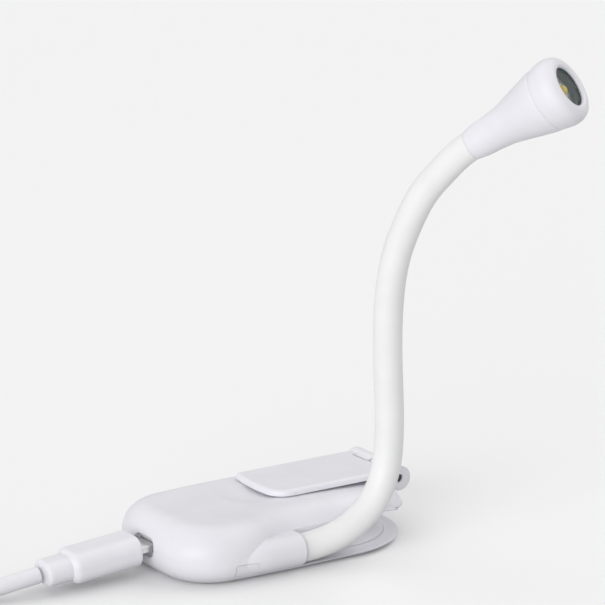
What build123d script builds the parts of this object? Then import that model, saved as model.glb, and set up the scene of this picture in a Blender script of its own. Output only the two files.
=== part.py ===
"""Clip-on book light: a rechargeable clip body, a bendable neck with a lamp head, and its charging cable.

Millimetres. +X runs along the body from the charging socket to the clip hinge, -Y is the side that the
neck leaves from, and +Z is up. The origin is on the body's underside, midway between its sides and
32.5 mm from its socket end.
"""
from build123d import *
import math
import os

# Body
body_left = -32.5
body_width = 42.8
body_height = 13.5
round_end_x = 17.0
side_bow = 1.8
end_bow = 1.9
corner_radius = 14.0
bottom_radius = 5.4
shoulder_radius = 3.5
top_radius = 7.0
deck_corner = 10.0
deck_fall = 0.9
base_height = 2.0
shoulder_height = 9.1
wall = 1.7

# Finger scoop in front of the clip
scoop_radius = 55.0
scoop_depth = 0.55
scoop_x = -1.0
scoop_y = 2.5

# Neck, and the channel round the body that it is put away in
neck_radius = 3.5
neck_y = -18.1
neck_z = 5.2
neck_exit_x = -0.4
sleeve_wall = 0.5
swell_x = -9.0
swell_tail_x = -18.5
swell_tail_radius = 2.0
core_radius = 1.6
channel_radius = 3.7
channel_stop_x = -21.5
flange_y = -15.6
turn_in_x = -19.0
turn_out_x = 2.5
joint_gap = 0.3

# Lamp head, as lengths from the collar along its axis
head_length = 28.8
head_seam = 22.3
neck_in_head = 8.0
opening_radius = 4.85

# Clip and hinge
clip_width = 19.6
clip_y = 4.2
clip_tip_x = 1.0
clip_thickness = 1.5
clip_edge_radius = 0.9
clip_lift = 13.7
hinge_x = 37.6
hinge_z = 12.6
barrel_radius = 3.1
barrel_gap = 0.35
pin_radius = 1.0
pin_fit = 0.06
spring_wire = 0.3
spring_coil_radius = 1.65
spring_pitch = 1.4
spring_turns = 3
spring_room = 5.8
spring_leg = 2.65

# Charging socket, plug and cable
port_z = 6.8
plug_width = 10.8
plug_height = 7.5
plug_corner = 3.2
grip_length = 18.1
relief_length = 6.2
plug_shell_x = (-37.4, -29.4)
plug_face_x = -35.4
plug_droop = 4.5
cable_radius = 2.0
coil_x = -116.0
coil_y = -10.0
coil_radius = 24.4
coil_pitch = 4.75
coil_layer = 4.75
coil_turns = 3.25
coil_tail = (16.0, 20.0)
usb_a_z = 4.2
floor_gap = 0.05

# Half the size of a block that is larger than the body, for cutting with
far = 60.0

os.makedirs("parts", exist_ok=True)


def box(x, y, z):
    """A block from three pairs of limits."""
    size = [limits[1] - limits[0] for limits in (x, y, z)]
    centre = [(limits[1] + limits[0]) / 2 for limits in (x, y, z)]
    return Pos(*centre) * Box(*size)


def rod(radius, start, end):
    """A round bar between two points."""
    start, end = Vector(*start), Vector(*end)
    along = end - start
    return extrude(Plane(start, z_dir=along) * Circle(radius), along.length)


def biarc(start, leaving, end, arriving):
    """Two tangent arcs from one point and direction to another. A straight run stays one line."""
    start, end = Vector(start), Vector(end)
    leaving, arriving = Vector(leaving).normalized(), Vector(arriving).normalized()
    chord = end - start
    if (leaving - arriving).length < 1e-6 and chord.cross(leaving).length < 1e-6:
        return [Line(start, end)]
    both = leaving + arriving
    a = 2 * (1 - leaving.dot(arriving))
    b = 2 * chord.dot(both)
    c = -chord.dot(chord)
    if a < 1e-9:
        reach = -c / b
    else:
        reach = (-b + math.sqrt(b * b - 4 * a * c)) / (2 * a)
    middle = (start + leaving * reach + end - arriving * reach) / 2
    across = (end - arriving * reach) - (start + leaving * reach)
    halves = []
    for point, way, target in ((start, leaving, middle), (middle, across, end)):
        if (target - point).cross(way).length < 1e-6:
            halves.append(Line(point, target))
        else:
            halves.append(TangentArc(point, target, tangent=way))
    return halves


def smooth_path(stations):
    """One smooth wire through (point, direction) stations."""
    edges = []
    for (start, leaving), (end, arriving) in zip(stations, stations[1:]):
        edges += biarc(start, leaving, end, arriving)
    return Wire(edges)


def tube(path, radius, bore=0.0):
    """A round tube along a smooth path."""
    section = Plane(path @ 0, z_dir=path % 0) * Circle(radius)
    solid = sweep(section, path=path)
    if bore:
        inner = Plane(path @ 0, z_dir=path % 0) * Circle(bore)
        solid -= sweep(inner, path=path)
    return solid


# Body blank
def side_at(x):
    """How far the body's side stands from its middle line, left of the middle."""
    half = -body_left - end_bow
    bow_circle = (half ** 2 + side_bow ** 2) / (2 * side_bow)
    return body_width / 2 - bow_circle + math.sqrt(bow_circle ** 2 - x ** 2)


def far_side_and_end():
    """The outline from the round end along the far side, round the socket end to its near corner."""
    y = body_width / 2
    corner_x = body_left + end_bow
    corner_y = side_at(corner_x)
    return [
        Line((round_end_x, y), (0, y)),
        TangentArc((0, y), (corner_x, corner_y), tangent=(-1, 0)),
        ThreePointArc((corner_x, corner_y), (body_left, 0), (corner_x, -corner_y)),
    ]


def rounded_corners(edges):
    """A face from the outline's edges, with the two corners of the socket end rounded."""
    outline = make_face(Wire(edges))
    corners = outline.vertices().sort_by(Axis.X)[:2]
    return fillet(corners, corner_radius)


def body_plan():
    """The body's outline: a bowed socket end with wide corners, and a half-round hinge end."""
    y = body_width / 2
    corner_x = body_left + end_bow
    near = [
        TangentArc((0, -y), (corner_x, -side_at(corner_x)), tangent=(-1, 0)),
        Line((0, -y), (round_end_x, -y)),
        ThreePointArc((round_end_x, -y), (round_end_x + y, 0), (round_end_x, y)),
    ]
    return rounded_corners(near + far_side_and_end())


def deck_plan():
    """The upper deck's outline: the body's, but drawn in beside the neck."""
    y = body_width / 2
    corner_x = body_left + end_bow
    middle_x = (corner_x + turn_in_x) / 2
    small = 0.01
    start = (turn_in_x, -side_at(turn_in_x))
    slope = (side_at(turn_in_x - small) - side_at(turn_in_x + small)) / (2 * small)
    end = (turn_out_x, flange_y)
    meet_x = round_end_x + math.sqrt(y ** 2 - flange_y ** 2)
    edges = [ThreePointArc((corner_x, -side_at(corner_x)), (middle_x, -side_at(middle_x)), start)]
    edges += biarc(start, (1, slope), end, (1, 0))
    edges.append(Line(end, (meet_x, flange_y)))
    edges.append(ThreePointArc((meet_x, flange_y), (round_end_x + y, 0), (round_end_x, y)))
    outline = rounded_corners(edges + far_side_and_end())
    meeting = outline.vertices().sort_by_distance((meet_x, flange_y))[0]
    return fillet(meeting, deck_corner)


def deck_profile():
    """The deck's side view: level, then falling gently towards the hinge."""
    left, right = -far, far
    fall_radius = 28.0 ** 2 / (2 * deck_fall)
    top = body_height
    side = [
        Line((left, 0), (left, top)),
        Line((left, top), (0, top)),
        TangentArc((0, top), (right, top - right ** 2 / (2 * fall_radius)), tangent=(1, 0)),
        Line((right, top - right ** 2 / (2 * fall_radius)), (right, 0)),
        Line((right, 0), (left, 0)),
    ]
    return extrude(Plane.XZ.offset(-right) * make_face(Wire(side)), 2 * right)


def body_blank():
    """The body before it is split: a rounded lower block and a rounded deck."""
    lower = extrude(body_plan(), shoulder_height)
    lower = fillet(lower.edges().group_by(Axis.Z)[-1], shoulder_radius)
    lower = fillet(lower.edges().group_by(Axis.Z)[0], bottom_radius)
    deck = Pos(0, 0, bottom_radius) * extrude(deck_plan(), body_height)
    deck &= deck_profile()
    rims = [edge for edge in deck.edges() if edge.bounding_box().min.Z > shoulder_height]
    deck = fillet(rims, top_radius)
    return lower + deck + neck_swell()


def neck_swell():
    """The swelling of the near side round the neck, which fades out towards the socket end."""
    outer = neck_radius + sleeve_wall
    side = [
        Line((swell_tail_x, 0), (swell_tail_x, swell_tail_radius)),
        TangentArc((swell_x, outer), (swell_tail_x, swell_tail_radius), tangent=(-1, 0)),
        Line((swell_x, outer), (neck_exit_x, outer)),
        Line((neck_exit_x, outer), (neck_exit_x, 0)),
        Line((neck_exit_x, 0), (swell_tail_x, 0)),
    ]
    swell = Pos(0, neck_y, neck_z) * revolve(make_face(Wire(side)), Axis.X)
    return swell & box((-far, far), (-far, 0), (base_height, far))


def channel_path():
    """The line that the stored neck follows: along the near side, round the hinge end and back."""
    y = -neck_y
    return Wire(
        [
            Line((neck_exit_x, -y, neck_z), (round_end_x, -y, neck_z)),
            ThreePointArc((round_end_x, -y, neck_z), (round_end_x + y, 0, neck_z), (round_end_x, y, neck_z)),
            Line((round_end_x, y, neck_z), (channel_stop_x, y, neck_z)),
        ]
    )


def channel():
    """The space of the storage channel: round at the back and open to the outside above the lip."""
    path = channel_path()
    start = path @ 0
    groove = Plane(start, x_dir=(0, -1, 0), z_dir=(1, 0, 0))
    open_top = channel_radius
    open_bottom = base_height - neck_z
    open_depth = 9.0
    mouth = Pos(open_depth / 2, (open_top + open_bottom) / 2) * Rectangle(open_depth, open_top - open_bottom)
    return sweep(groove * (Circle(channel_radius) + mouth), path=path)


def shell_blank():
    """The outside of the whole body with its channel, before it is split and hollowed."""
    solid = body_blank()
    outside_deck = box((neck_exit_x, far), (-far, neck_y + channel_radius), (neck_z, far))
    outside_deck -= extrude(deck_plan(), far)
    solid -= outside_deck
    solid -= channel()
    solid -= Pos(scoop_x, scoop_y, body_height - scoop_depth + scoop_radius) * Sphere(scoop_radius)
    seat_y = (clip_y - clip_width / 2 - 1.0, clip_y + clip_width / 2 + 1.0)
    return solid - rod(barrel_radius + barrel_gap, (hinge_x, seat_y[0], hinge_z), (hinge_x, seat_y[1], hinge_z))


# Inside of the body, as limits along X, Y and Z
cavity_x = (-29.6, 24.4)
cavity_y = (-12.8, 12.8)
cavity_corner = 8.5
cavity_top = body_height - wall
board_z = (4.5, 5.3)
board_x = (-28.6, -8.6)
board_y = (-11.4, 11.4)
board_corner = 7.5
tab_x = (-19.5, -13.3)
tab_y = (-16.4, -11.4)
cell_x = (-7.6, 20.4)
cell_y = (-10.5, 10.5)
cell_z = (3.2, 7.6)
anchor_x = -9.7
lead_radius = 0.4
lead_z = 6.1
button_x = (-19.0, -13.8)
button_z = (2.3, 4.8)
button_gap = 0.15
button_back_y = -18.8
pocket_y = (-19.0, -12.0)
pocket_x = (-20.0, -12.6)
pocket_top = 6.4
screw_places = [(-24.4, -10.4), (-24.4, 10.4), (23.2, 0.0)]
screw_radius = 0.85
screw_top = 7.2
screw_head_radius = 1.6
screw_head_depth = 0.9
post_radius = 2.2
socket_width = 7.6
socket_height = 2.75
socket_x = (-31.0, -25.6)
plug_shell_width = 6.85
plug_shell_height = 1.8
mouth_width = 7.05
mouth_height = 2.0
recess_width = 9.4
recess_height = 4.6
knuckle_y = (1.2, 4.4)
knuckle_radius = 3.0


def port_slot(width, height, x):
    """A flat-sided oval that runs along X through the charging port."""
    face = Plane((x[0], 0, port_z), x_dir=(0, 1, 0), z_dir=(1, 0, 0)) * SlotOverall(width, height)
    return extrude(face, x[1] - x[0])


def hinge_knuckle():
    """The body's own knuckle, standing on the hinge end of the deck."""
    low = neck_z + channel_radius + 0.1
    disc = rod(knuckle_radius, (hinge_x, knuckle_y[0], hinge_z), (hinge_x, knuckle_y[1], hinge_z))
    back, front = hinge_x - knuckle_radius - 0.6, hinge_x + knuckle_radius
    side = Polyline(
        (hinge_x, hinge_z),
        (back, hinge_z - 1.2),
        (back, low),
        (hinge_x - 0.4, low),
        (front - 0.5, hinge_z - 1.6),
        close=True,
    )
    face = Plane((0, knuckle_y[0], 0), x_dir=(1, 0, 0), z_dir=(0, -1, 0)) * make_face(side)
    return disc + extrude(face, knuckle_y[0] - knuckle_y[1])


def neck_hole():
    return rod(neck_radius, (anchor_x, neck_y, neck_z), (neck_exit_x + 1, neck_y, neck_z))


def make_upper_shell(outer):
    shell = outer & box((-far, far), (-far, far), (base_height, far))
    shell += hinge_knuckle()
    room = box(cavity_x, cavity_y, (base_height, cavity_top))
    room = fillet(room.edges().filter_by(Axis.Z), cavity_corner)
    room = fillet(room.edges().group_by(Axis.Z)[-1], 2.0)
    room += box(pocket_x, pocket_y, (base_height, pocket_top))
    room += box((anchor_x - 2.2, anchor_x), (neck_y - 1.4, -12.0), (3.4, 7.0))
    for x, y in screw_places:
        room -= rod(post_radius, (x, y, 0), (x, y, body_height))
    shell -= room
    for x, y in screw_places:
        shell -= rod(screw_radius, (x, y, 0), (x, y, screw_top))
    shell -= neck_hole()
    shell -= port_slot(recess_width, recess_height, (-34.0, socket_x[0]))
    shell -= box((socket_x[0] - 1, cavity_x[0] + 1), (-socket_width / 2, socket_width / 2),
                 (port_z - socket_height / 2, port_z + socket_height / 2))
    window_x = (button_x[0] - button_gap, button_x[1] + button_gap)
    shell -= box(window_x, (-25, pocket_y[0] + 1), (base_height, button_z[1] + button_gap))
    shell -= rod(pin_radius, (hinge_x, 0, hinge_z), (hinge_x, 10, hinge_z))
    return shell


def make_base_shell(outer):
    base = outer & box((-far, far), (-far, far), (-far, base_height))
    rail_height = 1.2
    for y in (cell_y[0] + 1.0, cell_y[1] - 3.0):
        base += box(cell_x, (y, y + 2.0), (base_height, base_height + rail_height))
    for x in (board_x[0] + 8.0, board_x[1] - 2.3):
        for y in (board_y[0] + 0.6, board_y[1] - 2.6):
            base += box((x, x + 2.0), (y, y + 2.0), (base_height, board_z[0]))
    base -= neck_hole()
    for x, y in screw_places:
        base -= rod(screw_radius, (x, y, 0), (x, y, base_height + 1))
        base -= rod(screw_head_radius + 0.1, (x, y, -1), (x, y, screw_head_depth + 0.1))
    return base


def make_button(outer):
    """The flush button on the near side, with its retaining collar and stem."""
    face = outer & box(button_x, (-25, button_back_y), button_z)
    collar = box((button_x[0] - 0.6, button_x[1] + 0.6), (button_back_y, button_back_y + 0.7), button_z)
    middle = sum(button_x) / 2
    stem = box((middle - 1.0, middle + 1.0), (button_back_y + 0.7, -17.35), (2.9, 4.2))
    return face + collar + stem


def make_switch():
    middle = sum(button_x) / 2
    body = box((middle - 2.2, middle + 2.2), (-16.3, -13.0), (2.7, board_z[0]))
    nub = box((middle - 0.8, middle + 0.8), (-16.8, -16.3), (3.1, 4.0))
    return body + nub


def make_circuit_board():
    board = box(board_x, board_y, board_z)
    corners = board.edges().filter_by(Axis.Z).sort_by(Axis.X)
    board = fillet(corners[:2], board_corner)
    for x, y in screw_places[:2]:
        board -= rod(post_radius + 0.3, (x, y, 0), (x, y, body_height))
    return board + box(tab_x, tab_y, board_z)


def make_board_parts():
    """The charging chip, a coil, a capacitor and the status lamp, soldered on the board's top."""
    top = board_z[1]
    sizes = [
        ((-20.5, -16.5), (-2.0, 3.0), 1.5),
        ((-14.6, -11.2), (-4.0, -0.6), 2.0),
        ((-14.2, -12.2), (3.4, 4.6), 0.9),
        ((-20.0, -18.4), (6.4, 7.2), 0.7),
    ]
    return Compound([box(x, y, (top, top + height)) for x, y, height in sizes])


def make_cell():
    cell = box(cell_x, cell_y, cell_z)
    return fillet(cell.edges().filter_by(Axis.X), 1.8)


def make_cell_leads():
    """Two wires that leave the cell's end and bend down on to the board."""
    leads = []
    back = cell_x[0]
    for y in (-3.0, 3.0):
        stations = [
            (Vector(back, y, 6.4), Vector(-1, 0, 0)),
            (Vector(back - 0.9, y, 6.4), Vector(-1, 0, 0)),
            (Vector(back - 1.9, y, board_z[1]), Vector(0, 0, -1)),
        ]
        leads.append(tube(smooth_path(stations), lead_radius))
    return Compound(leads)


def make_lamp_leads():
    """Two wires from the neck's anchor to the board."""
    leads = []
    for side in (-1, 1):
        y = neck_y + 0.6 * side
        x = anchor_x - 1.1 + 0.6 * side
        stations = [
            (Vector(anchor_x, y, lead_z), Vector(-1, 0, 0)),
            (Vector(x, y + 1.0, lead_z), Vector(0, 1, 0)),
            (Vector(x, -10.6, lead_z), Vector(0, 1, 0)),
            (Vector(x, -9.8, board_z[1]), Vector(0, 0, -1)),
        ]
        leads.append(tube(smooth_path(stations), lead_radius))
    return Compound(leads)


def make_socket():
    """The micro-USB socket: a metal box with a tongue inside."""
    half = socket_width / 2
    low, high = port_z - socket_height / 2, port_z + socket_height / 2
    case = box(socket_x, (-half, half), (low, high))
    case = chamfer(case.edges().filter_by(Axis.X).group_by(Axis.Z)[0], 0.7)
    mouth = Plane((socket_x[0], 0, port_z), x_dir=(0, 1, 0), z_dir=(1, 0, 0)) * Rectangle(mouth_width, mouth_height)
    case -= extrude(mouth, socket_x[1] - socket_x[0] - 0.5)
    case += box((socket_x[0] + 1.0, socket_x[1]), (-2.0, 2.0), (port_z - 0.15, port_z + 0.35))
    case += box((socket_x[1] - 3.0, socket_x[1]), (-3.0, 3.0), (board_z[1], low))
    return case


def make_screws():
    screws = []
    for x, y in screw_places:
        shank = rod(screw_radius, (x, y, 0.1), (x, y, screw_top - 0.3))
        cap = rod(screw_head_radius, (x, y, 0.1), (x, y, 0.1 + screw_head_depth))
        screws.append(shank + cap)
    return Compound(screws)


# Clip and hinge
def clip_plan():
    """The clip plate seen from above: a bowed free end with a wide near corner."""
    near, far = clip_y - clip_width / 2, clip_y + clip_width / 2
    corner_x = clip_tip_x + 0.9
    outline = make_face(
        Wire(
            [
                Line((hinge_x, near), (corner_x, near)),
                ThreePointArc((corner_x, near), (clip_tip_x, clip_y + 1.0), (corner_x, far)),
                Line((corner_x, far), (hinge_x, far)),
                Line((hinge_x, far), (hinge_x, near)),
            ]
        )
    )
    free_corners = outline.vertices().sort_by(Axis.X)[:2].sort_by(Axis.Y)
    outline = fillet(free_corners[0], 5.0)
    return fillet(outline.vertices().sort_by(Axis.X)[:3].sort_by(Axis.Y)[-1], 1.6)


def make_clip():
    """The spring clip: a flat plate with two knuckles that turn on the pin."""
    near, far = clip_y - clip_width / 2, clip_y + clip_width / 2
    plate = extrude(clip_plan(), clip_thickness)
    rim = plate.edges().group_by(Axis.Z)[-1]
    rim = rim.sort_by(Axis.X)[:-1]
    plate = Pos(0, 0, clip_lift) * fillet(rim, clip_edge_radius)
    low, high = knuckle_y[0] - joint_gap, knuckle_y[1] + spring_room
    plate -= box((hinge_x - barrel_radius, hinge_x + 1), (low, high), (clip_lift - 1, clip_lift + 3))
    for start, end in ((near, low), (high, far)):
        plate += rod(barrel_radius, (hinge_x, start, hinge_z), (hinge_x, end, hinge_z))
    plate -= rod(pin_radius + pin_fit, (hinge_x, near - 1, hinge_z), (hinge_x, far + 1, hinge_z))
    leg_z = hinge_z + spring_coil_radius
    return plate - rod(spring_wire + 0.1, (hinge_x, high - 1, leg_z), (hinge_x, high + 2.2, leg_z))


def make_spring():
    """The torsion spring: a leg on the deck's end, the turns round the pin, and a leg into the clip."""
    start_y = knuckle_y[1] + 0.45
    stations = []
    leg_end = Vector(hinge_x - spring_coil_radius - 0.15, start_y, hinge_z - spring_leg)
    first = Vector(hinge_x - spring_coil_radius, start_y, hinge_z)
    stations.append((leg_end, Vector(0.12, 0, 1)))
    steps = spring_turns * 2
    rise = spring_pitch / (2 * math.pi * spring_coil_radius)
    for step in range(steps + 1):
        angle = math.pi * step
        y = start_y + spring_pitch * step / 2
        point = Vector(hinge_x - spring_coil_radius * math.cos(angle), y, hinge_z + spring_coil_radius * math.sin(angle))
        way = Vector(math.sin(angle), rise, math.cos(angle))
        stations.append((point, way))
    last_y = stations[-1][0].Y
    stations.append((Vector(hinge_x, last_y + 0.9, hinge_z + spring_coil_radius), Vector(0, 1, 0)))
    stations.append((Vector(hinge_x, last_y + 2.9, hinge_z + spring_coil_radius), Vector(0, 1, 0)))
    path = smooth_path(stations)
    print("spring: least gap", round(least_gap(path, spring_wire, 0.3), 2))
    return tube(path, spring_wire)


def make_pin():
    near, far = clip_y - clip_width / 2, clip_y + clip_width / 2
    return rod(pin_radius, (hinge_x, near + 0.7, hinge_z), (hinge_x, far - 0.3, hinge_z))


# Neck: stations along its centreline, each a point and a direction, from the body to the lamp head
head_axis = Vector(0.42, -0.72, 0.55).normalized()
collar = Vector(34.1, -38.2, 102.2)
neck_stations = [
    (Vector(anchor_x + 5.0, neck_y, neck_z), Vector(1, 0, 0)),
    (Vector(1.2, neck_y, neck_z), Vector(1, 0, 0)),
    (Vector(10.4, -19.4, 7.2), Vector(0.93, -0.08, 0.34)),
    (Vector(18.4, -19.95, 12.4), Vector(0.72, -0.02, 0.69)),
    (Vector(24.2, -19.9, 27.0), Vector(0.06, 0, 1)),
    (Vector(24.0, -19.9, 43.3), Vector(-0.05, 0, 1)),
    (Vector(23.7, -20.1, 60.0), Vector(0.02, -0.04, 1)),
    (Vector(25.3, -22.9, 78.0), Vector(0.18, -0.31, 0.93)),
    (Vector(29.4, -30.0, 93.0), Vector(0.34, -0.58, 0.74)),
    (collar, head_axis),
    (collar + head_axis * neck_in_head, head_axis),
]
joint_stations = [3, 5, 7, 8]


def make_neck():
    """The sleeve and its bendable core, cut at each joint: a round end turns in a hollow end."""
    sleeves = []
    cores = []
    ends = [0] + joint_stations + [len(neck_stations) - 1]
    for first, last in zip(ends, ends[1:]):
        stations = neck_stations[first:last + 1]
        path = smooth_path(stations)
        sleeve = tube(path, neck_radius)
        start, finish = stations[0][0], stations[-1][0]
        if last in joint_stations:
            sleeve += Pos(*finish) * Sphere(neck_radius)
        if first in joint_stations:
            sleeve -= Pos(*start) * Sphere(neck_radius + joint_gap)
        core = tube(path, core_radius)
        if first in joint_stations:
            core -= Pos(*start) * Sphere(neck_radius + joint_gap)
        if last in joint_stations:
            core -= Pos(*finish) * Sphere(core_radius)
        sleeves.append(sleeve - core)
        cores.append(core)
    return sleeves, cores


def make_ferrule():
    """The crimped ring that holds the neck in the body."""
    barrel = rod(neck_radius, (anchor_x, neck_y, neck_z), (anchor_x + 5.0, neck_y, neck_z))
    return barrel - rod(1.0, (anchor_x, neck_y, neck_z), (anchor_x + 3.0, neck_y, neck_z))


# Lamp head
def head_plane():
    return Plane(collar, x_dir=(0.866, 0.5, 0), z_dir=head_axis)


def turned(points_or_edges):
    """A solid of revolution about the head's axis, from a closed outline of radius and length."""
    face = make_face(points_or_edges)
    section = Plane(origin=(0, 0, 0), x_dir=(1, 0, 0), z_dir=(0, -1, 0)) * face
    return head_plane() * revolve(section, Axis.Z)


def make_head_shell():
    inner = neck_radius + 0.05
    seat = neck_in_head + 0.5
    bell = 7.0
    spigot = 6.7
    outline = [
        Line((inner, 0), (3.9, 0)),
        ThreePointArc((3.9, 0), (4.35, 0.35), (4.5, 1.2)),
        Spline((4.5, 1.2), (4.5, 8.0), (5.05, 12.2), (6.45, 17.0), (7.7, 21.2), (7.92, head_seam),
               tangents=((0.05, 1), (0.2, 1))),
        Line((7.92, head_seam), (spigot, head_seam)),
        Line((spigot, head_seam), (spigot, 19.2)),
        Line((spigot, 19.2), (5.6, 19.2)),
        Line((5.6, 19.2), (3.3, 12.0)),
        Line((3.3, 12.0), (2.0, seat)),
        Line((2.0, seat), (inner, seat)),
        Line((inner, seat), (inner, 0)),
    ]
    return turned(Wire(outline))


def make_head_cap():
    rim = 5.5
    lens_seat = 27.9
    outline = [
        Line((5.45, 19.4), (6.6, 19.4)),
        Line((6.6, 19.4), (6.6, head_seam + 0.25)),
        Line((6.6, head_seam + 0.25), (7.95, head_seam + 0.25)),
        Spline((7.95, head_seam + 0.25), (8.25, 25.2), (7.6, 27.4), (rim, head_length),
               tangents=((0.15, 1), (-1, 0.12))),
        Line((rim, head_length), (opening_radius, head_length - 0.45)),
        Line((opening_radius, head_length - 0.45), (opening_radius, lens_seat)),
        Line((opening_radius, lens_seat), (5.45, lens_seat)),
        Line((5.45, lens_seat), (5.45, 19.4)),
    ]
    return turned(Wire(outline))


def ring(outer, inner, low, high):
    return head_plane() * (Pos(0, 0, (low + high) / 2) * (Cylinder(outer, high - low) - Cylinder(inner, high - low)))


def disc(radius, low, high):
    return head_plane() * (Pos(0, 0, (low + high) / 2) * Cylinder(radius, high - low))


def make_lamp_board():
    return disc(5.45, 24.0, 25.0)


def make_led():
    size = 3.5
    return head_plane() * (Pos(0, 0, 25.4) * Box(size, size, 0.8))


def make_phosphor():
    dome = Pos(0, 0, 25.65) * Sphere(1.4)
    dome &= Pos(0, 0, 26.8) * Box(4, 4, 2)
    return head_plane() * dome


# Charging cable
def plug_plane():
    lean = math.radians(plug_droop)
    return Plane((plug_face_x, 0, port_z), x_dir=(0, 1, 0), z_dir=(-math.cos(lean), 0, -math.sin(lean)))


def make_plug_grip():
    """The moulded grip of the micro-USB plug: a rounded block and the smaller step behind it."""
    plane = plug_plane()
    along = Axis(plane.origin, plane.z_dir)
    grip = extrude(plane * RectangleRounded(plug_width, plug_height, plug_corner), grip_length)
    grip = fillet(grip.edges().group_by(along)[0], 0.7)
    grip = fillet(grip.edges().group_by(along)[-1], 1.8)
    step = extrude(plane.offset(grip_length - 2.0) * RectangleRounded(8.4, 5.9, 2.9), relief_length + 2.0)
    step = fillet(step.edges().group_by(along)[-1], 1.0)
    return grip + step - plug_shell_outside()


def plug_shell_outside():
    plane = Plane((plug_shell_x[0], 0, port_z), x_dir=(0, 1, 0), z_dir=(1, 0, 0))
    outline = plane * RectangleRounded(plug_shell_width, plug_shell_height, 0.35)
    return extrude(outline, plug_shell_x[1] - plug_shell_x[0])


def make_plug_shell():
    """The plug's metal shell, pushed into the socket."""
    plane = Plane((plug_shell_x[0] + 2.3, 0, port_z), x_dir=(0, 1, 0), z_dir=(1, 0, 0))
    inside = plane * RectangleRounded(plug_shell_width - 0.7, plug_shell_height - 0.6, 0.1)
    return plug_shell_outside() - extrude(inside, 10)


def lead_points():
    """The cable's route from the plug to the coil."""
    end = plug_plane().offset(grip_length + relief_length).origin
    way = plug_plane().z_dir
    first = end + way * 5.0
    z = cable_radius + floor_gap
    return [
        end,
        first,
        Vector(-71.5, 2.4, z + 0.5),
        Vector(-82.0, 6.9, z),
        Vector(-93.5, 12.2, z),
        Vector(-103.5, coil_y + coil_radius, z),
        Vector(coil_x + 2 * cable_radius, coil_y + coil_radius, z),
    ]


def route_radii(points):
    radii = []
    for a, b, c in zip(points, points[1:], points[2:]):
        turn = math.radians((b - a).get_angle(c - b))
        shorter = min((b - a).length, (c - b).length)
        radii.append(0.45 * shorter / math.tan(turn / 2))
    return radii


def make_lead():
    points = lead_points()
    radii = route_radii(points)
    print("cable: arc radii", [round(r, 1) for r in radii])
    path = FilletPolyline(*points, radius=radii)
    section = Plane(path @ 0, z_dir=path % 0) * Circle(cable_radius)
    lead = sweep(section, path=path)
    print("cable: lead length", round(path.length, 1), "volume ratio",
          round(lead.volume / (math.pi * cable_radius ** 2 * path.length), 4))
    return lead


def coil_point(turn):
    """The coil's centreline after some turns: spiral in on the floor, climb, and spiral out on top."""
    middle = coil_turns / 2
    radius = coil_radius - coil_pitch * (middle - abs(turn - middle))
    lift = min(max((turn - middle + 0.25) / 0.5, 0.0), 1.0)
    lift = lift * lift * (3 - 2 * lift)
    angle = math.pi / 2 + 2 * math.pi * turn
    return Vector(coil_x + radius * math.cos(angle), coil_y + radius * math.sin(angle),
                  cable_radius + floor_gap + coil_layer * lift)


def coil_stations():
    step = 0.125
    small = 0.001
    stations = []
    start = coil_point(0)
    stations.append((start + Vector(2 * cable_radius, 0, 0), Vector(-1, 0, 0)))
    stations.append((start, Vector(-1, 0, 0)))
    count = round(coil_turns / step)
    for index in range(1, count):
        turn = index * step
        stations.append((coil_point(turn), coil_point(turn + small) - coil_point(turn - small)))
    last = coil_point(coil_turns)
    stations.append((last, Vector(0, -1, 0)))
    for distance in coil_tail:
        stations.append((Vector(last.X, last.Y - distance, usb_a_z), Vector(0, -1, 0)))
    return stations


def least_gap(path, radius, spacing):
    """The least gap of a wound tube to itself, from points along its centreline."""
    count = int(path.length / spacing)
    points = [path @ (index / count) for index in range(count + 1)]
    apart = int(6 * radius / spacing) + 1
    nearest = min((a - b).length for i, a in enumerate(points) for b in points[i + apart:])
    return nearest - 2 * radius


def make_coil():
    path = smooth_path(coil_stations())
    coil = tube(path, cable_radius)
    print("cable: coil length", round(path.length, 1),
          "least gap", round(least_gap(path, cable_radius, 1.5), 2), "volume ratio",
          round(coil.volume / (math.pi * cable_radius ** 2 * path.length), 4))
    return coil


def usb_a_plane():
    end = coil_stations()[-1][0]
    return Plane(end, x_dir=(1, 0, 0), z_dir=(0, -1, 0))


def make_usb_a_grip():
    plane = usb_a_plane()
    relief = loft([plane * Circle(cable_radius + 0.4), plane.offset(6.0) * Circle(3.4)])
    grip = extrude(plane.offset(6.0) * RectangleRounded(15.6, 8.0, 2.4), 19.0)
    grip = fillet(grip.edges().group_by(Axis.Y)[-1], 1.0)
    return relief + grip - usb_a_outside()


def usb_a_outside():
    return extrude(usb_a_plane().offset(23.0) * Rectangle(12.0, 4.5), 14.0)


def make_usb_a_shell():
    plane = usb_a_plane()
    shell = usb_a_outside()
    shell -= extrude(plane.offset(26.5) * (Pos(0, 0.9) * Rectangle(11.2, 1.9)), 12.0)
    for x in (-2.4, 2.4):
        for side in (-1, 1):
            shell -= plane.offset(31.0) * (Pos(x, side * 2.25, 0) * Box(2.2, 0.5, 2.4))
    return shell


def save(shape, name):
    export_step(shape, f"parts/{name}.step")


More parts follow.
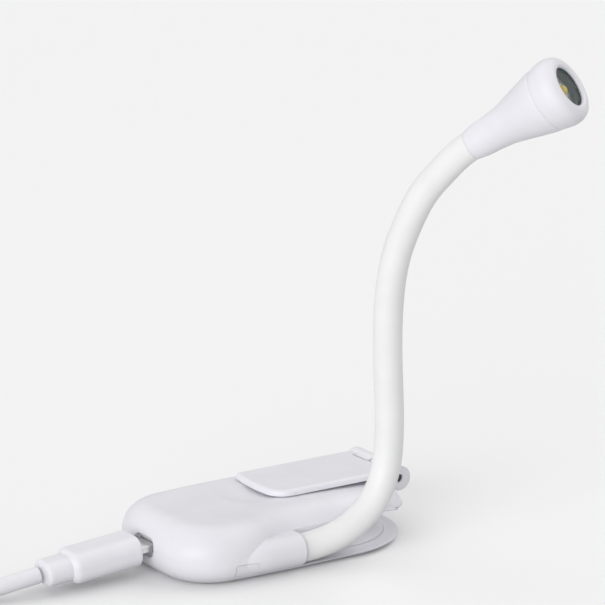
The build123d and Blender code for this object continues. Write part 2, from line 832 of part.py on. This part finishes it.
def main():
    outer = shell_blank()
    save(make_upper_shell(outer), "upper_shell")
    save(make_base_shell(outer), "base_shell")
    save(make_button(outer), "push_button")
    save(make_switch(), "tact_switch")
    save(make_circuit_board(), "circuit_board")
    save(make_board_parts(), "board_parts")
    save(make_cell(), "battery_cell")
    save(make_cell_leads(), "battery_leads")
    save(make_lamp_leads(), "lamp_leads")
    save(make_socket(), "usb_socket")
    save(make_screws(), "case_screws")
    save(make_clip(), "clip_plate")
    save(make_pin(), "hinge_pin")
    save(make_spring(), "clip_spring")
    save(make_ferrule(), "neck_ferrule")
    sleeves, cores = make_neck()
    for number, (sleeve, core) in enumerate(zip(sleeves, cores), 1):
        save(sleeve, f"neck_sleeve_{number}")
        save(core, f"neck_core_{number}")
    save(make_head_shell(), "head_shell")
    save(make_head_cap(), "head_cap")
    save(disc(5.4, 27.1, 27.9), "lamp_lens")
    save(ring(5.4, 4.7, 25.0, 27.1), "lamp_reflector")
    save(make_lamp_board(), "lamp_board")
    save(make_led(), "led_package")
    save(make_phosphor(), "led_phosphor")
    save(make_plug_grip(), "micro_plug_grip")
    save(make_plug_shell(), "micro_plug_shell")
    save(make_lead(), "cable_lead")
    save(make_coil(), "cable_coil")
    save(make_usb_a_grip(), "usb_a_grip")
    save(make_usb_a_shell(), "usb_a_shell")


main()
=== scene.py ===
"""Looks for the clip-on book light: materials, neck, head, button, clip, cable, floor, lights and camera.

Metres, in the same frame as the model: +X along the body to the hinge, -Y the neck's side, +Z up.
The pieces' places and sizes are named in millimetres, and those of materials, floor and camera in metres.
"""

import math

import bmesh
import bpy
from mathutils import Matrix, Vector


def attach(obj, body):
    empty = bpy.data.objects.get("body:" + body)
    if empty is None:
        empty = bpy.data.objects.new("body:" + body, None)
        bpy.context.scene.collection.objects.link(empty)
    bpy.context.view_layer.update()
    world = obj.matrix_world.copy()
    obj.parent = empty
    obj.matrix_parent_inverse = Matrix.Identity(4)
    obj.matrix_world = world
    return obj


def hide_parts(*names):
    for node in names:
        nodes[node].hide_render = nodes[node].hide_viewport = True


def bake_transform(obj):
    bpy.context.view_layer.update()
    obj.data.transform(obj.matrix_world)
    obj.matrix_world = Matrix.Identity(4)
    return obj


MM = 0.001

# Places of a colour mix's sockets among those of its other kinds
MIX_FACTOR, MIX_FIRST, MIX_SECOND, MIX_RESULT = 0, 6, 7, 2

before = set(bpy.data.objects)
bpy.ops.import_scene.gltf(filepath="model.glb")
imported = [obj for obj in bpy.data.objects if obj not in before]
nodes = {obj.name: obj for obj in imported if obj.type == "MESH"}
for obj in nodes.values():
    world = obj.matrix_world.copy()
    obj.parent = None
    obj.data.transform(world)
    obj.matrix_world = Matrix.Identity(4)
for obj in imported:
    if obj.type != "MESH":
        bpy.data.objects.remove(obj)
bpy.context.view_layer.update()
scene = bpy.context.scene


# Material building blocks
UNEVEN = 0.025
BEVEL_SAMPLES = 6

# How far gloss varies each way
CLOUDY_GLOSS = (-0.05, 0.06)
PATCHY_GLOSS = (-0.06, 0.1)

# Noise scales in cells a metre
CLOUDS = 90.0
WAVES = 140.0
SWIRL = 220.0
GLOSS_PATCHES = 260.0
DULL_PATCHES = 300.0
BOARD_RUNS = 420.0
DRAWN_LINES = 900.0
PHOSPHOR_GRAINS = 5200.0

# Depths of their bumps
WAVE_DEPTH = 0.00004
SWIRL_DEPTH = 0.00001
RUN_DEPTH = 0.00003
LINE_DEPTH = 0.000008
GRAIN_DEPTH = 0.00002


def new_material(name):
    material = bpy.data.materials.new(name)
    material.use_nodes = True
    shader = material.node_tree.nodes["Principled BSDF"]
    return material, material.node_tree, shader


def set_values(node, values):
    for key, value in values.items():
        node.inputs[key].default_value = value


def add(tree, kind, values=None, **settings):
    """A shader node with its settings, and values for its sockets."""
    node = tree.nodes.new(kind)
    for key, value in settings.items():
        setattr(node, key, value)
    set_values(node, values or {})
    return node


def object_places(tree):
    return add(tree, "ShaderNodeTexCoord").outputs["Object"]


def noise(tree, places, scale, detail=3.0, roughness=0.55):
    """Noise at a scale in cells a metre."""
    node = add(tree, "ShaderNodeTexNoise", {"Scale": scale, "Detail": detail, "Roughness": roughness})
    tree.links.new(places, node.inputs["Vector"])
    return node.outputs["Fac"]


def remap(tree, value, low, high, start=0.35, end=0.65):
    node = add(
        tree,
        "ShaderNodeMapRange",
        {"From Min": start, "From Max": end, "To Min": low, "To Max": high},
    )
    tree.links.new(value, node.inputs["Value"])
    return node.outputs["Result"]


def shade_of(colour, factor):
    return (colour[0] * factor, colour[1] * factor, colour[2] * factor, 1.0)


def mix_colours(tree, factor, first, second):
    node = add(tree, "ShaderNodeMix", data_type="RGBA")
    tree.links.new(factor, node.inputs[MIX_FACTOR])
    node.inputs[MIX_FIRST].default_value = first
    node.inputs[MIX_SECOND].default_value = second
    return node.outputs[MIX_RESULT]


def bump(tree, height, distance, under=None):
    node = add(tree, "ShaderNodeBump", {"Strength": 1.0, "Distance": distance})
    tree.links.new(height, node.inputs["Height"])
    if under is not None:
        tree.links.new(under, node.inputs["Normal"])
    return node.outputs["Normal"]


def soft_edges(tree, radius):
    """Normals rounded off at the edges, or none where the radius is 0."""
    if not radius:
        return None
    return add(tree, "ShaderNodeBevel", {"Radius": radius}, samples=BEVEL_SAMPLES).outputs["Normal"]


def moulded(name, colour, roughness, grain, depth, edge=0.0, ior=1.5):
    """Moulded plastic or silicone: a fine sparkle of texture, cloudy gloss and slightly uneven colour."""
    material, tree, shader = new_material(name)
    places = object_places(tree)
    cloud = remap(tree, noise(tree, places, CLOUDS), 0.0, 1.0)
    tone = mix_colours(tree, cloud, shade_of(colour, 1.0 - UNEVEN), shade_of(colour, 1.0 + UNEVEN / 2))
    tree.links.new(tone, shader.inputs["Base Color"])
    patches = noise(tree, places, GLOSS_PATCHES, 4.0)
    low, high = [roughness + change for change in CLOUDY_GLOSS]
    tree.links.new(remap(tree, patches, low, high), shader.inputs["Roughness"])
    waves = bump(tree, noise(tree, places, WAVES, 1.0), WAVE_DEPTH, under=soft_edges(tree, edge))
    fine = bump(tree, noise(tree, places, grain, 2.0), depth, under=waves)
    tree.links.new(fine, shader.inputs["Normal"])
    set_values(shader, {"IOR": ior})
    return material


def drawn_metal(name, colour, roughness, stretch=(1.0, 1.0, 12.0), edge=0.0):
    """Plated or drawn metal with fine lines along one way and a few dull patches."""
    material, tree, shader = new_material(name)
    places = object_places(tree)
    squeeze = add(tree, "ShaderNodeMapping", {"Scale": stretch})
    tree.links.new(places, squeeze.inputs["Vector"])
    lines = noise(tree, squeeze.outputs["Vector"], DRAWN_LINES, 5.0)
    tone = mix_colours(tree, remap(tree, lines, 0.0, 1.0), shade_of(colour, 0.9), shade_of(colour, 1.05))
    tree.links.new(tone, shader.inputs["Base Color"])
    patches = noise(tree, places, DULL_PATCHES, 4.0)
    low, high = [roughness + change for change in PATCHY_GLOSS]
    tree.links.new(remap(tree, patches, low, high), shader.inputs["Roughness"])
    tree.links.new(bump(tree, lines, LINE_DEPTH, under=soft_edges(tree, edge)), shader.inputs["Normal"])
    set_values(shader, {"Metallic": 1.0})
    return material


def board_material(name, mask, trace):
    """A masked circuit board with faint copper runs under the mask."""
    material, tree, shader = new_material(name)
    places = object_places(tree)
    runs = add(tree, "ShaderNodeTexBrick", {"Scale": BOARD_RUNS, "Mortar Size": 0.06}, offset=0.37)
    tree.links.new(places, runs.inputs["Vector"])
    tone = mix_colours(tree, runs.outputs["Fac"], shade_of(mask, 1.0), shade_of(trace, 1.0))
    tree.links.new(tone, shader.inputs["Base Color"])
    tree.links.new(bump(tree, runs.outputs["Fac"], RUN_DEPTH), shader.inputs["Normal"])
    set_values(shader, {"Roughness": 0.32})
    return material


def clear_plastic(name):
    """The lamp's clear window, with the faint swirl of a moulded lens."""
    material, tree, shader = new_material(name)
    places = object_places(tree)
    tree.links.new(bump(tree, noise(tree, places, SWIRL, 2.0), SWIRL_DEPTH), shader.inputs["Normal"])
    set_values(
        shader,
        {"Base Color": (0.97, 0.985, 0.98, 1.0), "Roughness": 0.03, "IOR": 1.3, "Transmission Weight": 1.0},
    )
    return material


def phosphor_material(name, colour):
    """Yellow resin with suspended grains, lit a little from within."""
    material, tree, shader = new_material(name)
    places = object_places(tree)
    grains = noise(tree, places, PHOSPHOR_GRAINS, 2.0)
    tone = mix_colours(tree, remap(tree, grains, 0.0, 1.0), shade_of(colour, 0.82), shade_of(colour, 1.1))
    tree.links.new(tone, shader.inputs["Base Color"])
    tree.links.new(bump(tree, grains, GRAIN_DEPTH), shader.inputs["Normal"])
    set_values(
        shader,
        {"Roughness": 0.35, "Emission Color": (*colour, 1.0), "Emission Strength": 0.12, "Coat Weight": 0.4},
    )
    return material


# Materials: moulded ones by colour, roughness, the grain's cells a metre and its depth
WHITE = (0.76, 0.755, 0.80)
SILICONE = (0.79, 0.79, 0.79)
JACKET = (0.79, 0.785, 0.83)

white_plastic = moulded("white_plastic", WHITE, 0.45, 2600.0, 0.000006, edge=0.00018, ior=1.46)
shell_plastic = moulded("shell_plastic", WHITE, 0.45, 2600.0, 0.000006, edge=0.00045, ior=1.46)
silicone = moulded("neck_silicone", SILICONE, 0.46, 3600.0, 0.000008, ior=1.42)
jacket = moulded("cable_jacket", JACKET, 0.42, 3200.0, 0.000007, ior=1.45)
grip_plastic = moulded("grip_plastic", JACKET, 0.40, 2600.0, 0.000006, edge=0.00025, ior=1.46)
black_plastic = moulded("black_plastic", (0.02, 0.02, 0.022), 0.5, 2400.0, 0.00001, edge=0.0001)
dark_plastic = moulded("dark_plastic", (0.03, 0.10, 0.10), 0.3, 2400.0, 0.000004)
lead_jacket = moulded("lead_jacket", (0.55, 0.03, 0.03), 0.4, 2600.0, 0.000005)
ceramic = moulded("led_ceramic", (0.72, 0.72, 0.68), 0.4, 4200.0, 0.000004, edge=0.0001)
foil = drawn_metal("cell_foil", (0.72, 0.72, 0.74), 0.36, stretch=(1.0, 8.0, 1.0))
plated = drawn_metal("plated_steel", (0.74, 0.74, 0.75), 0.24, stretch=(1.0, 10.0, 1.0), edge=0.0001)
plug_steel = drawn_metal("plug_steel", (0.87, 0.86, 0.86), 0.34, stretch=(10.0, 1.0, 1.0), edge=0.0001)
spring_metal = drawn_metal("spring_steel", (0.6, 0.6, 0.61), 0.3)
pin_steel = drawn_metal("pin_steel", (0.1, 0.1, 0.105), 0.45)
core_metal = drawn_metal("neck_core", (0.5, 0.48, 0.44), 0.4, stretch=(12.0, 1.0, 1.0))
green_board = board_material("circuit_board", (0.012, 0.11, 0.04), (0.03, 0.2, 0.07))
pale_board = board_material("lamp_board", (0.42, 0.43, 0.44), (0.55, 0.55, 0.52))
window = clear_plastic("clear_plastic")
phosphor = phosphor_material("led_phosphor", (0.86, 0.62, 0.03))


def give(material, *names):
    """Puts a material on CAD nodes."""
    for name in names:
        mesh = nodes[name].data
        mesh.materials.clear()
        mesh.materials.append(material)


numbered_cores = [f"neck_core_{number}" for number in range(1, 6)]
give(shell_plastic, "upper_shell")
give(white_plastic, "base_shell", "push_button", "clip_plate", "head_shell", "head_cap")
give(black_plastic, "tact_switch", "board_parts")
give(green_board, "circuit_board")
give(foil, "battery_cell")
give(lead_jacket, "battery_leads", "lamp_leads")
give(plated, "usb_socket", "case_screws", "neck_ferrule", "usb_a_shell")
give(plug_steel, "micro_plug_shell")
give(spring_metal, "clip_spring")
give(pin_steel, "hinge_pin")
give(core_metal, *numbered_cores)
give(window, "lamp_lens")
give(dark_plastic, "lamp_reflector")
give(pale_board, "lamp_board")
give(ceramic, "led_package")
give(phosphor, "led_phosphor")
give(grip_plastic, "micro_plug_grip", "usb_a_grip")


# Shape building blocks
CREASE = math.radians(35)


def new_object(name, data):
    thing = bpy.data.objects.new(name, data)
    scene.collection.objects.link(thing)
    return thing


def outward_ways(way, across, sides):
    """Directions all round a line."""
    side = way.cross(across)
    angles = [2 * math.pi * step / sides for step in range(sides)]
    return [across * math.cos(angle) + side * math.sin(angle) for angle in angles]


def join_loops(bm, loops):
    """Faces from each loop of vertices to the next."""
    for lower, upper in zip(loops, loops[1:]):
        for index in range(len(lower)):
            after = (index + 1) % len(lower)
            bm.faces.new((lower[index], lower[after], upper[after], upper[index]))


def close_ends(bm, loops):
    bm.faces.new(reversed(loops[0]))
    bm.faces.new(loops[-1])


def finish_piece(name, bm, creased=True):
    """An object with the built shape, smooth but for its sharp edges where it is creased."""
    for face in bm.faces:
        face.smooth = True
    if creased:
        for edge in bm.edges:
            edge.smooth = edge.calc_face_angle() < CREASE
    mesh = bpy.data.meshes.new(name)
    bm.to_mesh(mesh)
    bm.free()
    return new_object(name, mesh)


def hermite(start, leaving, end, arriving, t):
    """A point and its direction on the smooth curve from one station to the next."""
    reach = (end - start).length
    out, into = leaving.normalized() * reach, arriving.normalized() * reach
    point = (
        start * (2 * t**3 - 3 * t**2 + 1)
        + out * (t**3 - 2 * t**2 + t)
        + end * (3 * t**2 - 2 * t**3)
        + into * (t**3 - t**2)
    )
    way = (
        start * (6 * t**2 - 6 * t)
        + out * (3 * t**2 - 4 * t + 1)
        + end * (6 * t - 6 * t**2)
        + into * (3 * t**2 - 2 * t)
    )
    return point, way.normalized()


# Neck sleeve
NECK_RADIUS = 3.5
COLLAR = Vector((34.1, -38.2, 102.2))
HEAD_AXIS = Vector((0.42, -0.72, 0.55)).normalized()
NECK_IN_HEAD = 8.0
NECK_STATIONS = [
    (Vector((-4.7, -18.1, 5.2)), Vector((1, 0, 0))),
    (Vector((1.2, -18.1, 5.2)), Vector((1, 0, 0))),
    (Vector((10.4, -19.4, 7.2)), Vector((0.93, -0.08, 0.34))),
    (Vector((18.4, -19.95, 12.4)), Vector((0.72, -0.02, 0.69))),
    (Vector((24.2, -19.9, 27.0)), Vector((0.06, 0, 1))),
    (Vector((24.0, -19.9, 43.3)), Vector((-0.05, 0, 1))),
    (Vector((23.7, -20.1, 60.0)), Vector((0.02, -0.04, 1))),
    (Vector((25.3, -22.9, 78.0)), Vector((0.18, -0.31, 0.93))),
    (Vector((29.4, -30.0, 93.0)), Vector((0.34, -0.58, 0.74))),
    (COLLAR, HEAD_AXIS),
    (COLLAR + HEAD_AXIS * NECK_IN_HEAD, HEAD_AXIS),
]
# Each bend's station, its two bodies, how far it reaches each way and the solids that its sleeve stands for
NECK_BENDS = [
    (3, ("root", "neck_lower"), 13.0, ("neck_sleeve_1", "neck_sleeve_2")),
    (5, ("neck_lower", "neck_middle"), 15.0, ("neck_sleeve_3",)),
    (7, ("neck_middle", "neck_upper"), 8.4, ("neck_sleeve_4",)),
    (8, ("neck_upper", "head"), 8.0, ("neck_sleeve_5",)),
]
# The neck is nipped in where it leaves the body, by a share of its radius and over a short length
EXIT_X = -0.4
EXIT_NIP = 0.08
EXIT_SPAN = 0.6
RINGS_A_SPAN = 16
SLEEVE_SIDES = 64


def neck_rings():
    """The neck's rings as (centre, direction, across), each turned as little as can be from the last."""
    line = []
    for (start, leaving), (end, arriving) in zip(NECK_STATIONS, NECK_STATIONS[1:]):
        for step in range(RINGS_A_SPAN):
            line.append(hermite(start, leaving, end, arriving, step / RINGS_A_SPAN))
    line.append(NECK_STATIONS[-1])
    across = line[0][1].orthogonal().normalized()
    rings = []
    for point, way in line:
        across = (across - way * across.dot(way)).normalized()
        rings.append((point, way, across))
    return rings


def sleeve_radius(point):
    return NECK_RADIUS * (1 - EXIT_NIP * math.exp(-((point.x - EXIT_X) / EXIT_SPAN) ** 2))


def sleeve_piece(name, rings):
    """A closed length of the sleeve, shaded as part of one longer tube."""
    bm = bmesh.new()
    loops = []
    normals = []
    for point, way, across in rings:
        outward = outward_ways(way, across, SLEEVE_SIDES)
        loops.append([bm.verts.new((point + way_out * sleeve_radius(point)) * MM) for way_out in outward])
        normals += outward
    join_loops(bm, loops)
    close_ends(bm, loops)
    sleeve = finish_piece(name, bm, creased=False)
    sleeve.data.normals_split_custom_set_from_vertices(normals)
    sleeve.data.materials.append(silicone)
    return sleeve


def build_neck():
    """Four lengths of one sleeve, one for each joint, with their seams half-way between joints."""
    rings = neck_rings()
    seams = [0]
    for (first, *_), (second, *_) in zip(NECK_BENDS, NECK_BENDS[1:]):
        seams.append((first + second) * RINGS_A_SPAN // 2)
    seams.append(len(rings) - 1)
    for index, (station, (low, high), half, names) in enumerate(NECK_BENDS):
        sleeve = sleeve_piece(f"neck_sleeve_length_{index + 1}", rings[seams[index]:seams[index + 1] + 1])
        point, way = NECK_STATIONS[station]
        way = way.normalized()
        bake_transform(sleeve)
        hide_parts(*names)


build_neck()


# Lamp head: outlines as (radius, length along the head's axis from the collar)
HEAD_SIDES = 96
SEAM = 22.3
SEAM_HALF = 0.01
FLARE = [
    (3.62, 0.15), (3.78, 0.9), (4.12, 3.0), (4.4, 6.6), (4.85, 10.2),
    (5.85, 14.2), (6.85, 18.0), (7.6, 21.2), (7.68, SEAM - SEAM_HALF),
]
SHELL_INSIDE = [
    (6.7, SEAM - SEAM_HALF), (6.7, 19.2), (5.6, 19.2), (3.3, 12.0),
    (2.0, 8.5), (3.55, 8.5), (3.55, 0.15),
]
CROWN = [
    (7.68, SEAM + SEAM_HALF), (7.9, 22.9), (8.12, 24.0), (8.27, 25.4),
    (8.08, 26.9), (7.4, 28.1), (6.4, 28.65), (5.5, 28.75),
]
CAP_INSIDE = [
    (5.1, 28.6), (4.87, 28.25), (4.87, 27.9), (5.45, 27.9),
    (5.45, 19.4), (6.6, 19.4), (6.6, SEAM + SEAM_HALF),
]


def smooth_outline(places, steps=6):
    """More places along the smooth curve through some (radius, length along the axis) places."""
    points = [Vector((radius, along, 0)) for radius, along in places]
    ways = [after - before for before, after in zip(points[:1] + points[:-1], points[1:] + points[-1:])]
    outline = []
    stations = list(zip(points, ways))
    for (start, leaving), (end, arriving) in zip(stations, stations[1:]):
        for step in range(steps):
            point, _ = hermite(start, leaving, end, arriving, step / steps)
            outline.append((point.x, point.y))
    outline.append(places[-1])
    return outline


def turned_piece(name, outline):
    """A ring-shaped piece turned about the head's axis from a closed outline."""
    bm = bmesh.new()
    outward = outward_ways(HEAD_AXIS, HEAD_AXIS.orthogonal().normalized(), HEAD_SIDES)
    loops = []
    for radius, along in outline:
        centre = COLLAR + HEAD_AXIS * along
        loops.append([bm.verts.new((centre + way_out * radius) * MM) for way_out in outward])
    join_loops(bm, loops + loops[:1])
    return finish_piece(name, bm)


def build_head():
    """The head's flared shell and front ring, with a soft seam between them."""
    outlines = {
        "head_shell": smooth_outline(FLARE) + SHELL_INSIDE,
        "head_cap": smooth_outline(CROWN) + CAP_INSIDE,
    }
    for node, outline in outlines.items():
        piece = turned_piece(f"{node}_form", outline)
        piece.data.materials.append(white_plastic)
        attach(piece, "head")
        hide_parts(node)


build_head()


# Push button
BUTTON = {"x": (-19.0, -13.8), "z": (2.3, 4.8)}
WINDOW = {"x": (-19.15, -13.65), "z": (2.0, 4.95)}
BUTTON_BACK_Y = -18.85
HAIRLINE = 0.03
TUCK_RADIUS = 5.4


def tuck(z):
    """How far the body's side is drawn in at a height below its tuck."""
    return TUCK_RADIUS - math.sqrt(TUCK_RADIUS**2 - (TUCK_RADIUS - z) ** 2)


def stretched(value, old, new):
    """A value moved from its place in an old range to the same place in a new one, less its hairlines."""
    share = (value - old[0]) / (old[1] - old[0])
    return new[0] + HAIRLINE + share * (new[1] - new[0] - 2 * HAIRLINE)


def build_button():
    """The flush button, filling its window but for a hairline."""
    mesh = nodes["push_button"].data.copy()
    for vertex in mesh.vertices:
        x, y, z = vertex.co / MM
        if y < BUTTON_BACK_Y:
            new_z = stretched(z, BUTTON["z"], WINDOW["z"])
            y += tuck(new_z) - tuck(z)
            vertex.co = Vector((stretched(x, BUTTON["x"], WINDOW["x"]), y, new_z)) * MM
    button = new_object("button_key", mesh)
    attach(button, "button")
    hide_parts("push_button")


build_button()


# Clip: its roll's cover from an angle below the hinge, round over the spring and into the plate
HINGE_X, HINGE_Z = 37.6, 12.6
BARREL_RADIUS = 3.1
COVER_BORE = 2.3
COVER_Y = (4.72, 10.3)
COVER_TUCK = -38
PLATE_Z = (13.75, 15.2)
PLATE_END_X = 34.3
ARC_STEPS = 20


def arc(radius, start, end):
    """Places on an arc about the hinge, as (x, z), from one angle in degrees to another."""
    places = []
    for step in range(ARC_STEPS + 1):
        angle = math.radians(start + (end - start) * step / ARC_STEPS)
        places.append((HINGE_X + radius * math.cos(angle), HINGE_Z + radius * math.sin(angle)))
    return places


def build_roll_cover():
    """The part of the clip's roll that covers the spring."""
    over = math.degrees(math.asin((PLATE_Z[1] - HINGE_Z) / BARREL_RADIUS))
    under = math.degrees(math.asin((PLATE_Z[0] - HINGE_Z) / COVER_BORE))
    outline = arc(BARREL_RADIUS, COVER_TUCK, 180 - over)
    outline += [(PLATE_END_X, PLATE_Z[1]), (PLATE_END_X, PLATE_Z[0])]
    outline += arc(COVER_BORE, 180 - under, COVER_TUCK)
    bm = bmesh.new()
    loops = [[bm.verts.new(Vector((x, y, z)) * MM) for x, z in outline] for y in COVER_Y]
    join_loops(bm, loops)
    close_ends(bm, loops)
    bmesh.ops.recalc_face_normals(bm, faces=bm.faces)
    cover = finish_piece("clip_roll_cover", bm)
    cover.data.materials.append(white_plastic)
    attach(cover, "clip")


def build_spring():
    """The torsion spring, as a fixed copy of its solid."""
    spring = new_object("spring_turns", nodes["clip_spring"].data.copy())
    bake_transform(spring)
    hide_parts("clip_spring")


build_roll_cover()
build_spring()


# Charging cable
CABLE_RADIUS = 2.0
COIL_CENTRE = (-116.0, -10.0)
COIL_RADIUS = 24.4
COIL_PITCH = 4.75
COIL_LAYER = 4.75
COIL_TURNS = 3.25
RISE_TURNS = 0.5
FLOOR_GAP = 0.05
USB_A_Z = 4.2
PLUG_FACE_X = -35.4
PORT_Z = 6.8
PLUG_LENGTH = 25.4
PLUG_DROOP = math.radians(4.5)
POINTS_A_TURN = 16


def coil_point(turn):
    """The coil's centreline after some turns: in on the floor, up a layer, and out on top."""
    middle = COIL_TURNS / 2
    radius = COIL_RADIUS - COIL_PITCH * (middle - abs(turn - middle))
    lift = min(max((turn - middle + RISE_TURNS / 2) / RISE_TURNS, 0.0), 1.0)
    lift = lift * lift * (3 - 2 * lift)
    angle = math.pi / 2 + 2 * math.pi * turn
    return Vector((
        COIL_CENTRE[0] + radius * math.cos(angle),
        COIL_CENTRE[1] + radius * math.sin(angle),
        CABLE_RADIUS + FLOOR_GAP + COIL_LAYER * lift,
    ))


def cable_route():
    """The cable's route from the plug to the coil, round it, and on to the far plug."""
    way = Vector((-math.cos(PLUG_DROOP), 0, -math.sin(PLUG_DROOP)))
    end = Vector((PLUG_FACE_X, 0, PORT_Z)) + way * PLUG_LENGTH
    z = CABLE_RADIUS + FLOOR_GAP
    entry_y = COIL_CENTRE[1] + COIL_RADIUS
    points = [
        end,
        end + way * 5.0,
        Vector((-71.5, 2.4, z + 0.5)),
        Vector((-82.0, 6.9, z)),
        Vector((-93.5, 12.2, z)),
        Vector((-103.5, entry_y, z)),
        Vector((COIL_CENTRE[0] + 2 * CABLE_RADIUS, entry_y, z)),
    ]
    steps = round(COIL_TURNS * POINTS_A_TURN)
    points += [coil_point(step / POINTS_A_TURN) for step in range(steps + 1)]
    last = points[-1]
    points += [
        Vector((last.x, last.y - 7.0, last.z - 1.0)),
        Vector((last.x, last.y - 16.0, USB_A_Z)),
        Vector((last.x, last.y - 20.0, USB_A_Z)),
    ]
    return points


def build_cable():
    """One smooth tube along the route, which stands for both of the cable's solids."""
    route = cable_route()
    curve = bpy.data.curves.new("charging_cable", "CURVE")
    curve.dimensions = "3D"
    curve.resolution_u = 10
    curve.bevel_depth = CABLE_RADIUS * MM
    curve.bevel_resolution = 12
    curve.use_fill_caps = True
    spline = curve.splines.new("NURBS")
    spline.points.add(len(route) - 1)
    for point, place in zip(spline.points, route):
        point.co = (*(place * MM), 1.0)
    spline.order_u = 3
    spline.use_endpoint_u = True
    cable = new_object("charging_cable", curve)
    curve.materials.append(jacket)
    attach(cable, "root")
    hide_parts("cable_lead", "cable_coil")


build_cable()


# Floor, lights and camera
FLOOR_HALF = 6.0
FLOOR_TONE = (0.915, 0.915, 0.915, 1.0)
FLOOR_BOUNCE = (0.6, 0.6, 0.6, 1.0)
SKY = 0.54
SUN_WIDTH = 50.0
# Each sun's name, azimuth, elevation and strength
SUNS = [("side", -60.0, 8.0, 2.6), ("high", 90.0, 45.0, 0.95), ("back", -170.0, 45.0, 0.35)]
CAMERA_PLACE = (-0.36938, -0.58317, 0.23837)
CAMERA_DOWN = 14.376
CAMERA_TURN = -33.224
CAMERA_LENS = 178.5


def build_floor():
    """A pale floor that is seen and mirrored in one tone, and lights the object with a darker one."""
    mesh = bpy.data.meshes.new("studio_floor")
    corners = [
        (-FLOOR_HALF, -FLOOR_HALF, 0), (FLOOR_HALF, -FLOOR_HALF, 0),
        (FLOOR_HALF, FLOOR_HALF, 0), (-FLOOR_HALF, FLOOR_HALF, 0),
    ]
    mesh.from_pydata(corners, [], [(0, 1, 2, 3)])
    floor = new_object("studio_floor", mesh)
    material, tree, shader = new_material("studio_floor")
    rays = add(tree, "ShaderNodeLightPath")
    seen = rays.outputs["Is Camera Ray"]
    for kind in ("Is Glossy Ray", "Is Transmission Ray"):
        either = add(tree, "ShaderNodeMath", operation="MAXIMUM")
        tree.links.new(seen, either.inputs[0])
        tree.links.new(rays.outputs[kind], either.inputs[1])
        seen = either.outputs[0]
    tree.links.new(mix_colours(tree, seen, FLOOR_BOUNCE, FLOOR_TONE), shader.inputs["Base Color"])
    set_values(shader, {"Roughness": 0.9, "Specular IOR Level": 0.1})
    mesh.materials.append(material)


def build_world():
    world = bpy.data.worlds.new("studio")
    scene.world = world
    world.use_nodes = True
    set_values(world.node_tree.nodes["Background"], {"Color": (1.0, 1.0, 1.0, 1.0), "Strength": SKY})


def add_sun(name, azimuth, elevation, strength):
    """A soft distant light: azimuth 0 shines along +Y, 90 along -X."""
    lamp = bpy.data.lights.new(name, "SUN")
    lamp.energy = strength
    lamp.angle = math.radians(SUN_WIDTH)
    light = new_object(name, lamp)
    turn, rise = math.radians(azimuth), math.radians(elevation)
    back = Vector((math.sin(turn) * math.cos(rise), -math.cos(turn) * math.cos(rise), math.sin(rise)))
    light.rotation_mode = "QUATERNION"
    light.rotation_quaternion = (-back).to_track_quat("-Z", "Y")
    light.location = back


def build_camera():
    """The photograph's view: from the socket end and the neck's side, a little above."""
    data = bpy.data.cameras.new("camera")
    data.sensor_width = 36.0
    data.lens = CAMERA_LENS
    data.clip_start, data.clip_end = 0.01, 20.0
    camera = new_object("camera", data)
    camera.location = CAMERA_PLACE
    camera.rotation_euler = (math.radians(90.0 - CAMERA_DOWN), 0.0, math.radians(CAMERA_TURN))
    scene.camera = camera


build_floor()
build_world()
for sun in SUNS:
    add_sun(*sun)
build_camera()
scene.view_settings.view_transform = "Standard"
